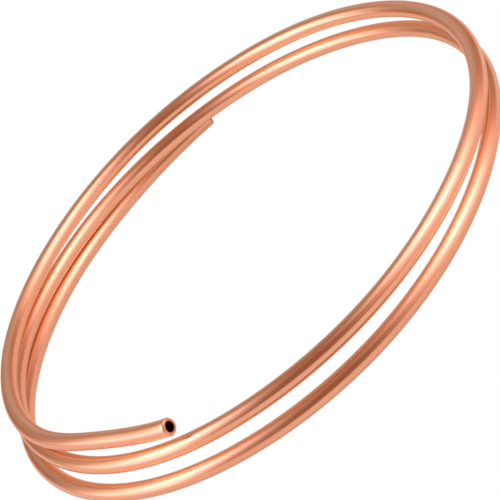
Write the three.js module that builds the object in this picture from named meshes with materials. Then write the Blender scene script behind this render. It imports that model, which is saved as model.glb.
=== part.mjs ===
// A loose coil of soft-drawn copper tube: one length of round tube, about 2.09 m long,
// wound into nearly two and a half open turns that lie flat, with both ends cut square.
// Millimetres, +Z up.
//
// The tube's centre line runs round a vertical axis. It starts at the top of the coil
// and comes down as it goes round, and its radius and height wander a little, as a
// hand-wound coil's do. Angles are measured round the axis from -Y towards -X.

import * as THREE from 'three';
import { mergeVertices } from 'three/addons/utils/BufferGeometryUtils.js';

// ---- the tube's section -------------------------------------------------------------
const TUBE_OD = 8.0;          // outside diameter
const WALL = 1.0;             // wall thickness, so the bore is 6 mm
const LIP_DROP = 0.7;         // how far the cutter rolls the outer edge inwards
const LIP_LENGTH = 1.2;       // length of tube that the rolled edge takes
const BURR_RISE = 0.58;       // how far the inner edge is pushed into the bore
const BURR_LENGTH = 1.1;      // depth of that inner edge

// ---- the centre line ----------------------------------------------------------------
const START_DEG = 35.238;     // angle of the upper end
const END_DEG = 913.062;      // angle of the lower end
// radius and height of the centre line at evenly spaced angles from start to end
const RADIUS_KNOTS = [
  133.187, 127.459, 125.847, 127.781, 130.836, 132.500, 133.700, 135.438, 136.840,
  137.559, 138.273, 139.536, 140.501, 139.693, 137.462, 135.345, 134.150, 133.811,
  134.138, 135.079, 136.377, 137.336, 137.239, 136.326, 135.478, 135.128, 135.117,
  135.124, 135.049, 134.762, 133.990, 132.879, 132.150, 132.285, 133.262, 134.783,
  136.436, 137.689, 138.158, 137.790, 136.985, 136.274, 135.536, 134.223, 132.425,
  130.978, 130.486, 130.958, 132.079, 133.536, 135.043, 136.367, 137.481, 138.581,
  139.653, 140.374, 140.562, 140.399, 140.285, 140.422, 140.462, 140.091, 139.534,
  139.152, 138.955, 138.645, 137.991, 137.145, 136.583, 136.651, 137.250, 138.168,
  139.321, 140.694,
];
const HEIGHT_KNOTS = [
  26.984, 24.935, 23.955, 22.709, 22.287, 22.956, 22.880, 22.421, 22.206, 22.329,
  22.294, 21.827, 21.142, 20.778, 20.893, 21.115, 21.024, 20.550, 19.987, 19.568,
  19.103, 18.269, 17.230, 16.459, 16.046, 15.788, 15.721, 15.936, 16.251, 16.340,
  16.043, 15.397, 14.646, 14.054, 13.751, 13.694, 13.720, 13.648, 13.501, 13.252,
  12.796, 12.093, 11.244, 10.562, 10.202, 9.850, 9.299, 8.713, 8.297, 7.950, 7.614,
  7.449, 7.447, 7.215, 6.487, 5.530, 4.653, 4.094, 4.035, 4.341, 4.651, 4.751, 4.718,
  4.752, 4.939, 5.168, 5.351, 5.467, 5.417, 5.061, 4.494, 4.059, 4.043, 4.285,
];

// ---- facets -------------------------------------------------------------------------
const SIDES = 16;             // flats round the tube
const STEPS = 96;             // straight stretches along the tube

// Natural cubic spline through evenly spaced values, as a function of 0..1.
function naturalSpline(values) {
  const n = values.length;
  const bend = new Array(n).fill(0);
  const c = new Array(n).fill(0);
  const d = new Array(n).fill(0);
  for (let i = 1; i < n - 1; i++) {
    const rhs = 6 * (values[i + 1] - 2 * values[i] + values[i - 1]);
    const m = 4 - c[i - 1];
    c[i] = 1 / m;
    d[i] = (rhs - d[i - 1]) / m;
  }
  for (let i = n - 2; i > 0; i--) bend[i] = d[i] - c[i] * bend[i + 1];
  return (t) => {
    const u = Math.min(Math.max(t, 0), 1) * (n - 1);
    const i = Math.min(Math.floor(u), n - 2);
    const b = u - i;
    const a = 1 - b;
    return a * values[i] + b * values[i + 1]
      + ((a * a * a - a) * bend[i] + (b * b * b - b) * bend[i + 1]) / 6;
  };
}

class CentreLine extends THREE.Curve {
  constructor() {
    super();
    this.arcLengthDivisions = 2000;
    this.radius = naturalSpline(RADIUS_KNOTS);
    this.height = naturalSpline(HEIGHT_KNOTS);
  }

  getPoint(t, target = new THREE.Vector3()) {
    const angle = THREE.MathUtils.degToRad(START_DEG + t * (END_DEG - START_DEG));
    const r = this.radius(t);
    return target.set(-r * Math.sin(angle), -r * Math.cos(angle), this.height(t));
  }
}

// The wall's section along a straight tube: up the outside, over the rolled edge, across
// the cut face, round the pushed-in inner edge, and back down the bore. It closes on itself.
function wallProfile(length) {
  const ro = TUBE_OD / 2;
  const ri = ro - WALL;
  const end = [                               // radius, distance in from the cut
    [ro, LIP_LENGTH],
    [ro - 0.13 * LIP_DROP, 0.5 * LIP_LENGTH],
    [ro - 0.5 * LIP_DROP, 0.13 * LIP_LENGTH],
    [ro - LIP_DROP, 0],
    [ri - BURR_RISE, 0],
    [ri - 0.25 * BURR_RISE, 0.4 * BURR_LENGTH],
    [ri, BURR_LENGTH],
  ];
  const points = [];
  for (const [r, y] of end.slice(0, 4).reverse()) points.push(new THREE.Vector2(r, y));
  const from = LIP_LENGTH;
  for (let i = 1; i < STEPS; i++) {
    points.push(new THREE.Vector2(ro, from + (length - 2 * from) * i / STEPS));
  }
  for (const [r, y] of end) points.push(new THREE.Vector2(r, length - y));
  for (let i = STEPS - 1; i > 0; i--) {
    points.push(new THREE.Vector2(ri, from + (length - 2 * from) * i / STEPS));
  }
  for (const [r, y] of end.slice(4).reverse()) points.push(new THREE.Vector2(r, y));
  points.push(points[0].clone());
  return points;
}

// The straight tube turned on its axis, then bent along the centre line.
function bentTube(curve) {
  const length = curve.getLength();
  const tube = new THREE.LatheGeometry(wallProfile(length), SIDES);
  const position = tube.getAttribute('position');
  const up = new THREE.Vector3(0, 0, 1);
  const centre = new THREE.Vector3();
  const along = new THREE.Vector3();
  const side = new THREE.Vector3();
  const crown = new THREE.Vector3();
  for (let i = 0; i < position.count; i++) {
    const x = position.getX(i);
    const z = position.getZ(i);
    const t = Math.min(Math.max(position.getY(i) / length, 0), 1);
    curve.getPointAt(t, centre);
    curve.getTangentAt(t, along);
    side.crossVectors(along, up).normalize();
    crown.crossVectors(side, along);
    centre.addScaledVector(side, x).addScaledVector(crown, z);
    position.setXYZ(i, centre.x, centre.y, centre.z);
  }
  tube.deleteAttribute('normal');
  tube.deleteAttribute('uv');
  const solid = mergeVertices(tube, 1e-4);
  solid.computeVertexNormals();
  return solid;
}

const copperTube = new THREE.Mesh(
  bentTube(new CentreLine()),
  new THREE.MeshStandardMaterial({ color: 0xd08a66, metalness: 1.0, roughness: 0.34 }),
);
copperTube.name = 'copper_tube';

// The origin is under the middle of the coil, on the level that it lies on.
copperTube.geometry.computeBoundingBox();
const box = copperTube.geometry.boundingBox;
copperTube.position.set(
  -(box.min.x + box.max.x) / 2,
  -(box.min.y + box.max.y) / 2,
  -box.min.z,
);

const coil = new THREE.Group();
coil.add(copperTube);

export default coil;
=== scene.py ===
import math

import bpy
import numpy as np
from mathutils import Matrix, Vector


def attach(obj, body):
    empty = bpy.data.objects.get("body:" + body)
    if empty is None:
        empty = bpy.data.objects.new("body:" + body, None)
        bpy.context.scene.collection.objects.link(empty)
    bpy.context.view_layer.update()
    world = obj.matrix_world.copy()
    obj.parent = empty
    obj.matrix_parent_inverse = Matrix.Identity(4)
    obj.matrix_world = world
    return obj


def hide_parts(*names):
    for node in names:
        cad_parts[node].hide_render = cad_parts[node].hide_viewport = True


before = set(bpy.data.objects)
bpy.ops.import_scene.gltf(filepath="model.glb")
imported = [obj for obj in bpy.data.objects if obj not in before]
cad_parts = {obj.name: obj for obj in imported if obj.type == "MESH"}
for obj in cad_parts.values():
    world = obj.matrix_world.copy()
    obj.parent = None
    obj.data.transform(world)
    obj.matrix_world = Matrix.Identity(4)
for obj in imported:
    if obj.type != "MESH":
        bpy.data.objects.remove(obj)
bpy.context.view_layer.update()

# ---------------------------------------------------------------- the tube, in metres
OD = 0.008
WALL = 0.001
LIP_DROP, LIP_LENGTH = 0.0007, 0.0012                    # the outer edge, rolled in by the cutter
BURR_RISE, BURR_LENGTH = 0.00058, 0.0011                 # the inner edge, pushed into the bore
START_DEG, END_DEG = 35.238, 913.062
OFFSET = (0.00138233, -0.00000607, -0.00000201)            # where the CAD model puts the coil's axis and floor level
RADIUS = [
    133.187, 127.459, 125.847, 127.781, 130.836, 132.500, 133.700, 135.438, 136.840,
    137.559, 138.273, 139.536, 140.501, 139.693, 137.462, 135.345, 134.150, 133.811,
    134.138, 135.079, 136.377, 137.336, 137.239, 136.326, 135.478, 135.128, 135.117,
    135.124, 135.049, 134.762, 133.990, 132.879, 132.150, 132.285, 133.262, 134.783,
    136.436, 137.689, 138.158, 137.790, 136.985, 136.274, 135.536, 134.223, 132.425,
    130.978, 130.486, 130.958, 132.079, 133.536, 135.043, 136.367, 137.481, 138.581,
    139.653, 140.374, 140.562, 140.399, 140.285, 140.422, 140.462, 140.091, 139.534,
    139.152, 138.955, 138.645, 137.991, 137.145, 136.583, 136.651, 137.250, 138.168,
    139.321, 140.694,
]
HEIGHT = [
    26.984, 24.935, 23.955, 22.709, 22.287, 22.956, 22.880, 22.421, 22.206,
    22.329, 22.294, 21.827, 21.142, 20.778, 20.893, 21.115, 21.024, 20.550,
    19.987, 19.568, 19.103, 18.269, 17.230, 16.459, 16.046, 15.788, 15.721,
    15.936, 16.251, 16.340, 16.043, 15.397, 14.646, 14.054, 13.751, 13.694,
    13.720, 13.648, 13.501, 13.252, 12.796, 12.093, 11.244, 10.562, 10.202,
    9.850, 9.299, 8.713, 8.297, 7.950, 7.614, 7.449, 7.447, 7.215,
    6.487, 5.530, 4.653, 4.094, 4.035, 4.341, 4.651, 4.751, 4.718,
    4.752, 4.939, 5.168, 5.351, 5.467, 5.417, 5.061, 4.494, 4.059,
    4.043, 4.285,
]
SIDES = 44                   # round the tube, outside and bore
STATIONS = 1350              # along the outside
BORE_STATIONS = 510          # along the bore


def natural_spline(values):
    """A natural cubic spline through evenly spaced values, as a function of 0..1."""
    v = np.asarray(values, float)
    n = len(v)
    a = np.zeros((n, n))
    b = np.zeros(n)
    a[0, 0] = a[-1, -1] = 1.0
    for i in range(1, n - 1):
        a[i, i - 1], a[i, i], a[i, i + 1] = 1.0, 4.0, 1.0
        b[i] = 6.0 * (v[i + 1] - 2.0 * v[i] + v[i - 1])
    m = np.linalg.solve(a, b)

    def at(t):
        u = np.clip(t, 0.0, 1.0) * (n - 1)
        i = np.minimum(u.astype(int), n - 2)
        q = u - i
        p = 1.0 - q
        return (p * v[i] + q * v[i + 1]
                + ((p ** 3 - p) * m[i] + (q ** 3 - q) * m[i + 1]) / 6.0)

    return at


RADIUS_AT = natural_spline(np.array(RADIUS) / 1000.0)
HEIGHT_AT = natural_spline(np.array(HEIGHT) / 1000.0)


def centre_line(t):
    angle = np.radians(START_DEG + t * (END_DEG - START_DEG))
    r = RADIUS_AT(t)
    return np.stack([-r * np.sin(angle), -r * np.cos(angle), HEIGHT_AT(t)], 1) + OFFSET


T = np.linspace(0.0, 1.0, 20001)
P = centre_line(T)
ARC = np.concatenate([[0.0], np.cumsum(np.linalg.norm(np.diff(P, axis=0), axis=1))])
LENGTH = float(ARC[-1])
TAN = np.gradient(P, ARC, axis=0)
TAN /= np.linalg.norm(TAN, axis=1, keepdims=True)


def frame_at(s):
    """Centre, direction, side and crown of the tube at a distance s along it."""
    s = np.clip(s, 0.0, LENGTH)
    c = np.stack([np.interp(s, ARC, P[:, k]) for k in range(3)], 1)
    d = np.stack([np.interp(s, ARC, TAN[:, k]) for k in range(3)], 1)
    d /= np.linalg.norm(d, axis=1, keepdims=True)
    side = np.cross(d, [0.0, 0.0, 1.0])
    side /= np.linalg.norm(side, axis=1, keepdims=True)
    return c, d, side, np.cross(side, d)


def lip(n=7):
    """(radius, distance in from the cut): over the rolled outer edge, across the cut face, round the inner edge."""
    ro, ri = OD / 2, OD / 2 - WALL
    nose = 0.00012
    out = []
    for k in range(1, n + 1):
        q = k / n * math.pi / 2
        out.append((ro - LIP_DROP * (1 - math.cos(q)), LIP_LENGTH * (1 - math.sin(q))))
    for r in np.linspace(ro - LIP_DROP, ri - BURR_RISE + nose, 4)[1:]:
        out.append((float(r), 0.0))
    for k in range(1, 4):
        q = k / 3 * math.pi / 2
        out.append((ri - BURR_RISE + nose * (1 - math.sin(q)), nose * (1 - math.cos(q))))
    for k in range(1, n + 1):
        q = k / n
        out.append((ri - BURR_RISE * (0.5 + 0.5 * math.cos(math.pi * q)), nose + (BURR_LENGTH - nose) * q))
    return out


def build_tube(name):
    ro, ri = OD / 2, OD / 2 - WALL
    edge = lip()
    # one closed profile: out over the start's lip, along the outside, over the far lip and back down the bore
    rings = [(r, y) for r, y in reversed(edge)]
    rings += [(ro, float(s)) for s in np.linspace(LIP_LENGTH, LENGTH - LIP_LENGTH, STATIONS)[1:-1]]
    rings += [(r, LENGTH - y) for r, y in edge]
    outside = len(rings)
    rings += [(ri, float(s)) for s in np.linspace(LENGTH - BURR_LENGTH, BURR_LENGTH, BORE_STATIONS)[1:-1]]
    rad = np.array([q[0] for q in rings])
    s = np.array([q[1] for q in rings])
    total = len(rings)
    c, d, side, crown = frame_at(s)
    th = np.arange(SIDES) * 2 * math.pi / SIDES
    # hand straightening and winding leave the outside a few hundredths of a millimetre out of round
    wander = np.zeros((total, SIDES))
    rng = np.random.default_rng(7)
    for lobe in (2, 3, 1):
        for wave in (0.31, 0.17, 0.083, 0.046):
            a, b, e = rng.uniform(0, 2 * math.pi, 3)
            swing = np.sin(2 * math.pi * s / wave + a) * 0.5 + np.sin(2 * math.pi * s / (wave * 1.37) + b) * 0.5
            wander += 0.0000250 * (wave / 0.31) ** 0.9 / lobe * swing[:, None] * np.cos(lobe * th[None, :] + e)
    ease = np.clip((rad - ri) / (ro - ri), 0, 1) ** 2 * np.clip(np.minimum(s, LENGTH - s) / 0.006, 0, 1)
    rr = rad[:, None] + (wander - 0.0000250) * ease[:, None]
    co = (c[:, None, :]
          + rr[:, :, None] * (np.cos(th)[None, :, None] * side[:, None, :]
                              + np.sin(th)[None, :, None] * crown[:, None, :]))
    lay = np.stack([np.repeat(s[:, None], SIDES, 1),
                    rad[:, None] * np.cos(th)[None, :],
                    rad[:, None] * np.sin(th)[None, :]], 2)
    i = np.arange(total)[:, None]
    j = np.arange(SIDES)[None, :]
    i2 = (i + 1) % total
    j2 = (j + 1) % SIDES
    quads = np.stack([i * SIDES + j, i * SIDES + j2, i2 * SIDES + j2, i2 * SIDES + j], 2).reshape(-1, 4)
    mesh = bpy.data.meshes.new(name)
    mesh.vertices.add(total * SIDES)
    mesh.vertices.foreach_set("co", co.astype(np.float32).ravel())
    mesh.loops.add(quads.size)
    mesh.loops.foreach_set("vertex_index", quads.astype(np.int32).ravel())
    mesh.polygons.add(len(quads))
    mesh.polygons.foreach_set("loop_start", (np.arange(len(quads)) * 4).astype(np.int32))
    mesh.polygons.foreach_set("use_smooth", np.ones(len(quads), bool))
    mesh.update(calc_edges=True)
    mesh.validate()
    a = mesh.attributes.new("lay", "FLOAT_VECTOR", "POINT")
    a.data.foreach_set("vector", lay.astype(np.float32).ravel())

    # the surface cut into strips and stacked in the unit square: nine along the outside at full scale, and two along
    # the bore, which is squeezed because it hardly shows
    step = np.hypot(np.diff(rad, append=rad[0]), np.diff(s, append=s[0]))
    walk = np.concatenate([[0.0], np.cumsum(step)])
    runs = []
    for first, last, strips, high, squeeze in ((0, outside - 1, 9, math.pi * OD, 1.0),
                                               (outside - 1, total, 2, 0.004, None)):
        span = (walk[last] - walk[first]) / strips
        cut = [first + int(np.argmin(np.abs(walk[first:last + 1] - walk[first] - q * span))) for q in range(strips)] + [last]
        for q in range(strips):
            runs.append((cut[q], cut[q + 1], high, squeeze))
    gap = 0.001
    sheet = max(sum(h + gap for _, _, h, _ in runs) + gap,
                max(walk[b] - walk[a_] for a_, b, _, sq in runs if sq) + 2 * gap)
    uv = np.zeros((total, SIDES, 4, 2))
    y0 = gap
    for a_, b, high, squeeze in runs:
        k = squeeze if squeeze else (sheet - 2 * gap) / (walk[b] - walk[a_])
        u0 = gap + (walk[a_:b] - walk[a_]) * k
        u1 = gap + (walk[a_ + 1:b + 1] - walk[a_]) * k
        v0 = y0 + np.arange(SIDES) / SIDES * high
        v1 = y0 + (np.arange(SIDES) + 1) / SIDES * high
        for corner, (uu, vv) in enumerate(((u0, v0), (u0, v1), (u1, v1), (u1, v0))):
            uv[a_:b, :, corner, 0] = uu[:, None] / sheet
            uv[a_:b, :, corner, 1] = vv[None, :] / sheet
        y0 += high + gap
    layer = mesh.uv_layers.new(name="OFBake")
    layer.data.foreach_set("uv", uv.astype(np.float32).ravel())
    ob = bpy.data.objects.new(name, mesh)
    bpy.context.scene.collection.objects.link(ob)
    return ob


tube = build_tube("coiled_tube")


# ---------------------------------------------------------------- copper
class Nodes:
    """A few words for building a node tree."""

    def __init__(self, tree):
        self.tree = tree

    def put(self, socket, value):
        if isinstance(value, bpy.types.NodeSocket):
            self.tree.links.new(value, socket)
        elif value is not None:
            socket.default_value = value

    def math(self, op, a, b=None, c=None, clamp=False):
        n = self.tree.nodes.new("ShaderNodeMath")
        n.operation = op
        n.use_clamp = clamp
        for k, v in enumerate((a, b, c)):
            self.put(n.inputs[k], v)
        return n.outputs[0]

    def vec(self, op, a, b=None, scale=None):
        n = self.tree.nodes.new("ShaderNodeVectorMath")
        n.operation = op
        self.put(n.inputs[0], a)
        self.put(n.inputs[1], b)
        if scale is not None:
            self.put(n.inputs["Scale"], scale)
        return n.outputs["Value" if op in ("LENGTH", "DOT_PRODUCT") else "Vector"]

    def noise(self, vector, scale=1.0, detail=2.0, rough=0.5, w=None):
        n = self.tree.nodes.new("ShaderNodeTexNoise")
        n.noise_dimensions = "3D"
        self.put(n.inputs["Vector"], vector)
        n.inputs["Scale"].default_value = scale
        n.inputs["Detail"].default_value = detail
        n.inputs["Roughness"].default_value = rough
        return n.outputs["Fac"]

    def ramp(self, value, low, high, out_low=0.0, out_high=1.0, smooth=True):
        n = self.tree.nodes.new("ShaderNodeMapRange")
        n.interpolation_type = "SMOOTHSTEP" if smooth else "LINEAR"
        self.put(n.inputs["Value"], value)
        n.inputs["From Min"].default_value = low
        n.inputs["From Max"].default_value = high
        n.inputs["To Min"].default_value = out_low
        n.inputs["To Max"].default_value = out_high
        return n.outputs["Result"]

    def mix(self, factor, a, b):
        n = self.tree.nodes.new("ShaderNodeMix")
        n.data_type = "RGBA"
        n.clamp_factor = True
        self.put(n.inputs[0], factor)
        self.put(n.inputs[6], a)
        self.put(n.inputs[7], b)
        return n.outputs[2]


def copper(name):
    mat = bpy.data.materials.new(name)
    mat.use_nodes = True
    nt = mat.node_tree
    k = Nodes(nt)
    p = nt.nodes["Principled BSDF"]
    p.inputs["Metallic"].default_value = 1.0
    at = nt.nodes.new("ShaderNodeAttribute")
    at.attribute_name = "lay"
    lay = at.outputs["Vector"]                       # distance along the tube, and place across its section

    def stretched(x, y, z, detail=2.0, rough=0.5):
        return k.noise(k.vec("MULTIPLY", lay, (x, y, z)), 1.0, detail, rough)

    parts = nt.nodes.new("ShaderNodeSeparateXYZ")
    nt.links.new(lay, parts.inputs[0])
    across = k.vec("LENGTH", k.vec("MULTIPLY", lay, (0.0, 1.0, 1.0)))

    # lines from the drawing die run the whole length of the tube: broad, fine and hair-fine, stronger in some stretches
    broad = stretched(2.6, 620.0, 620.0, 0.0, 0.5)
    lines = stretched(4.0, 1300.0, 1300.0, 1.0, 0.5)
    hair = stretched(12.0, 4600.0, 4600.0, 1.0, 0.5)
    drawn = k.ramp(stretched(9.0, 60.0, 60.0, 1.0, 0.5), 0.38, 0.62, 0.35, 1.0)
    # slow changes of tone from annealing and handling
    bloom = stretched(13.0, 110.0, 110.0, 3.0, 0.55)
    cloud = stretched(48.0, 240.0, 240.0, 3.0, 0.6)
    # short scuffs across the tube, in a few places
    skew = nt.nodes.new("ShaderNodeCombineXYZ")
    k.put(skew.inputs[0], k.math("MULTIPLY_ADD", parts.outputs[1], 0.55,
                                 k.math("MULTIPLY_ADD", parts.outputs[2], -0.35, parts.outputs[0])))
    k.put(skew.inputs[1], parts.outputs[1])
    k.put(skew.inputs[2], parts.outputs[2])
    nick = k.ramp(k.noise(k.vec("MULTIPLY", skew.outputs[0], (2400.0, 190.0, 190.0)), 1.0, 1.0, 0.5), 0.70, 0.78)
    where = k.ramp(stretched(38.0, 90.0, 90.0, 1.0, 0.5), 0.58, 0.68)
    nicks = k.math("MULTIPLY", nick, where)
    # a few small dark pits
    pits = nt.nodes.new("ShaderNodeTexVoronoi")
    pits.inputs["Scale"].default_value = 120.0
    nt.links.new(lay, pits.inputs["Vector"])
    chance = nt.nodes.new("ShaderNodeSeparateColor")
    nt.links.new(pits.outputs["Color"], chance.inputs[0])
    pit = k.math("MULTIPLY", k.ramp(pits.outputs["Distance"], 0.045, 0.025), k.ramp(chance.outputs[0], 0.94, 0.95))

    colour = k.mix(k.ramp(lines, 0.38, 0.72, 0.0, 0.5), (0.9500, 0.6800, 0.4700, 1.0), (0.9100, 0.6100, 0.4000, 1.0))
    colour = k.mix(k.ramp(bloom, 0.44, 0.76, 0.0, 0.6), colour, (0.8900, 0.6000, 0.4000, 1.0))
    colour = k.mix(k.ramp(cloud, 0.5, 0.8, 0.0, 0.35), colour, (0.9650, 0.7300, 0.5400, 1.0))
    colour = k.mix(k.math("MULTIPLY", nicks, 0.5), colour, (0.98, 0.74, 0.56, 1.0))
    colour = k.mix(k.math("MULTIPLY", pit, 0.75), colour, (0.16, 0.08, 0.04, 1.0))
    # the bore is painted near black: part dull oxide, part painted shade inside the tube; the cut ends are freshly
    # sheared
    bore_oxide_and_shade = k.ramp(across, 0.00312, 0.00296)
    near = k.math("MINIMUM", parts.outputs[0], k.math("SUBTRACT", 2.08496, parts.outputs[0]))
    fresh = k.math("MULTIPLY", k.ramp(near, 0.0011, 0.0003), k.ramp(across, 0.00236, 0.00250))
    # painted shade: the bore's colour is near black, its dull oxide darkened further to stand in for the shade inside
    # the tube
    colour = k.mix(bore_oxide_and_shade, colour, (0.16, 0.060, 0.032, 1.0))
    colour = k.mix(k.math("MULTIPLY", fresh, 0.6), colour, (0.94, 0.63, 0.44, 1.0))
    nt.links.new(colour, p.inputs["Base Color"])

    rough = k.ramp(lines, 0.3, 0.75, 0.240, 0.310, False)
    rough = k.math("ADD", rough, k.ramp(bloom, 0.4, 0.8, 0.0, 0.07))
    rough = k.math("ADD", rough, k.math("MULTIPLY", bore_oxide_and_shade, 0.35))
    rough = k.math("ADD", rough, k.math("MULTIPLY", pit, 0.2))
    nt.links.new(rough, p.inputs["Roughness"])

    height = k.math("MULTIPLY", broad, 6.0)
    height = k.math("MULTIPLY_ADD", lines, 0.45, height)
    height = k.math("MULTIPLY_ADD", hair, 0.02, height)
    height = k.math("MULTIPLY", height, drawn)
    height = k.math("MULTIPLY_ADD", nicks, -0.5, height)
    height = k.math("MULTIPLY_ADD", pit, -1.2, height)
    # concentric marks of the cutter on the ends
    saw = k.math("SINE", k.math("MULTIPLY", across, 52000.0))
    height = k.math("MULTIPLY_ADD", k.math("MULTIPLY", saw, fresh), 0.2, height)
    bump = nt.nodes.new("ShaderNodeBump")
    bump.inputs["Strength"].default_value = 1.0
    bump.inputs["Distance"].default_value = 0.00001200
    nt.links.new(height, bump.inputs["Height"])
    nt.links.new(bump.outputs["Normal"], p.inputs["Normal"])
    return mat


tube.data.materials.append(copper("soft_copper"))
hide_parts("copper_tube")
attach(tube, "root")

# ---------------------------------------------------------------- floor
# White paper. The camera sees it evenly white; the tube sees it lit by the tent, with its own shadow and glow on it.
half = 3.0
fm = bpy.data.meshes.new("floor")
fm.from_pydata([(-half, -half, 0), (half, -half, 0), (half, half, 0), (-half, half, 0)], [], [(0, 1, 2, 3)])
floor = bpy.data.objects.new("floor", fm)
bpy.context.scene.collection.objects.link(floor)
pale = bpy.data.materials.new("pale_floor")
pale.use_nodes = True
pale.cycles.emission_sampling = "NONE"
ft = pale.node_tree
ft.nodes.clear()
paper = ft.nodes.new("ShaderNodeBsdfDiffuse")
paper.inputs["Color"].default_value = (0.5000, 0.5000, 0.5000, 1.0)
glow = ft.nodes.new("ShaderNodeEmission")
glow.inputs["Color"].default_value = (1.0000, 0.7016, 0.5963, 1.0)
glow.inputs["Strength"].default_value = 0.3711
lit_paper = ft.nodes.new("ShaderNodeAddShader")
ft.links.new(paper.outputs[0], lit_paper.inputs[0])
ft.links.new(glow.outputs[0], lit_paper.inputs[1])
white = ft.nodes.new("ShaderNodeEmission")
white.inputs["Color"].default_value = (1.0, 1.0, 1.0, 1.0)
white.inputs["Strength"].default_value = 1.0
ray = ft.nodes.new("ShaderNodeLightPath")
which = ft.nodes.new("ShaderNodeMixShader")
ft.links.new(ray.outputs["Is Camera Ray"], which.inputs[0])
ft.links.new(lit_paper.outputs[0], which.inputs[1])
ft.links.new(white.outputs[0], which.inputs[2])
fo = ft.nodes.new("ShaderNodeOutputMaterial")
ft.links.new(which.outputs[0], fo.inputs["Surface"])
fm.materials.append(pale)

# ---------------------------------------------------------------- light
# A white tent round the coil, lit by large soft lights behind its wall:
# (azimuth from +Y towards +X, elevation, half width in degrees, colour)
TENT_RADIUS, TENT_CENTRE = 1.150, (0.0, 0.0, 0.150)
AMBIENT = (0.2687, 0.0921, 0.0411)
LIGHTS = [
    (-86.8, 38.0, 16.9, (3.015, 2.242, 2.377)),
    (114.9, 41.5, 13.5, (2.832, 1.748, 2.156)),
    (89.0, 63.9, 9.7, (2.200, 1.915, 1.753)),
    (-99.0, 4.0, 12.8, (2.575, 1.232, 1.427)),
    (114.8, 11.4, 23.9, (1.877, 0.995, 0.951)),
    (-71.0, 7.8, 9.0, (1.413, 1.200, 1.171)),
    (83.3, 39.2, 9.0, (1.300, 0.724, 0.580)),
    (39.8, 50.8, 9.0, (1.025, 0.718, 0.640)),
    (147.0, 56.8, 9.4, (0.693, 0.490, 0.422)),
    (-46.6, 41.4, 12.8, (0.680, 0.473, 0.339)),
    (151.6, 18.8, 10.7, (0.426, 0.311, 0.277)),
    (-122.2, 22.5, 14.1, (0.372, 0.312, 0.285)),
    (2.9, 14.9, 22.7, (0.287, 0.314, 0.339)),
    (34.8, 9.3, 27.5, (0.155, 0.103, 0.090)),
]
rows, cols = 32, 64
tv = [(0.0, 0.0, 1.0)]
for r in range(1, rows):
    e = math.pi * r / rows
    tv += [(math.sin(e) * math.cos(2 * math.pi * q / cols), math.sin(e) * math.sin(2 * math.pi * q / cols), math.cos(e))
           for q in range(cols)]
tv.append((0.0, 0.0, -1.0))
tf = [(0, 1 + (q + 1) % cols, 1 + q) for q in range(cols)]
for r in range(rows - 2):
    a0, b0 = 1 + r * cols, 1 + (r + 1) * cols
    tf += [(a0 + q, a0 + (q + 1) % cols, b0 + (q + 1) % cols, b0 + q) for q in range(cols)]
last = len(tv) - 1
tf += [(last, last - cols + q, last - cols + (q + 1) % cols) for q in range(cols)]
tm = bpy.data.meshes.new("tent")
tm.from_pydata([tuple(TENT_CENTRE[k] + TENT_RADIUS * v[k] for k in range(3)) for v in tv], [], tf)
tent = bpy.data.objects.new("tent", tm)
bpy.context.scene.collection.objects.link(tent)


def axis_of(az, el):
    a, e = math.radians(az), math.radians(el)
    return (math.sin(a) * math.cos(e), math.cos(a) * math.cos(e), math.sin(e))


def sharpness(wide):
    return math.log(2.0) / (1.0 - math.cos(math.radians(wide)))


def tent_cloth(name, sampling):
    mat = bpy.data.materials.new(name)
    mat.use_nodes = True
    mat.cycles.emission_sampling = sampling
    wt = mat.node_tree
    wt.nodes.clear()
    wk = Nodes(wt)
    place = wt.nodes.new("ShaderNodeNewGeometry")
    toward = wk.vec("NORMALIZE", wk.vec("SUBTRACT", place.outputs["Position"], TENT_CENTRE))
    total = wt.nodes.new("ShaderNodeCombineXYZ")
    for q in range(3):
        total.inputs[q].default_value = AMBIENT[q]
    total = total.outputs[0]
    for az, el, wide, colour in LIGHTS:
        sharp = sharpness(wide)
        fall = wk.math("EXPONENT", wk.math("MULTIPLY_ADD", wk.vec("DOT_PRODUCT", toward, axis_of(az, el)), sharp, -sharp))
        total = wk.vec("ADD", total, wk.vec("SCALE", colour, scale=fall))
    lit = wt.nodes.new("ShaderNodeEmission")
    wt.links.new(total, lit.inputs["Color"])
    wo = wt.nodes.new("ShaderNodeOutputMaterial")
    wt.links.new(lit.outputs[0], wo.inputs["Surface"])
    return mat


# the same cloth all over; only its bright parts are sampled as lamps, which keeps the noise down
tm.materials.append(tent_cloth("tent_wall", "NONE"))
tm.materials.append(tent_cloth("tent_panels", "FRONT_BACK"))
for face in tm.polygons:
    v = (face.center - Vector(TENT_CENTRE)).normalized()
    power = sum(colour[0] * math.exp(sharpness(wide) * (v.dot(Vector(axis_of(az, el))) - 1.0)) for az, el, wide, colour in LIGHTS)
    face.material_index = 1 if power > 0.9 else 0
tent.visible_camera = False                      # the camera looks in from outside
world = bpy.data.worlds.new("studio")
bpy.context.scene.world = world
world.use_nodes = True
world.node_tree.nodes["Background"].inputs["Color"].default_value = (1.0, 1.0, 1.0, 1.0)

# ---------------------------------------------------------------- camera
cam = bpy.data.cameras.new("camera")
cam.sensor_width = 36.0
cam.lens = 157.7501
cam.clip_start, cam.clip_end = 0.05, 20.0
camera = bpy.data.objects.new("camera", cam)
bpy.context.scene.collection.objects.link(camera)
camera.matrix_world = Matrix((
    (0.71082768, 0.70336620, 0.00000000, -0.00035125),
    (-0.32236135, 0.32578104, -0.88879124, -0.90292099),
    (-0.62514572, 0.63177742, 0.45831226, 0.46871186),
    (0.00000000, 0.00000000, 0.00000000, 1.00000000),
))
bpy.context.scene.camera = camera

scene = bpy.context.scene
scene.view_settings.view_transform = "Standard"
scene.view_settings.look = "None"
scene.view_settings.exposure = 0.000
scene.view_settings.gamma = 1.0
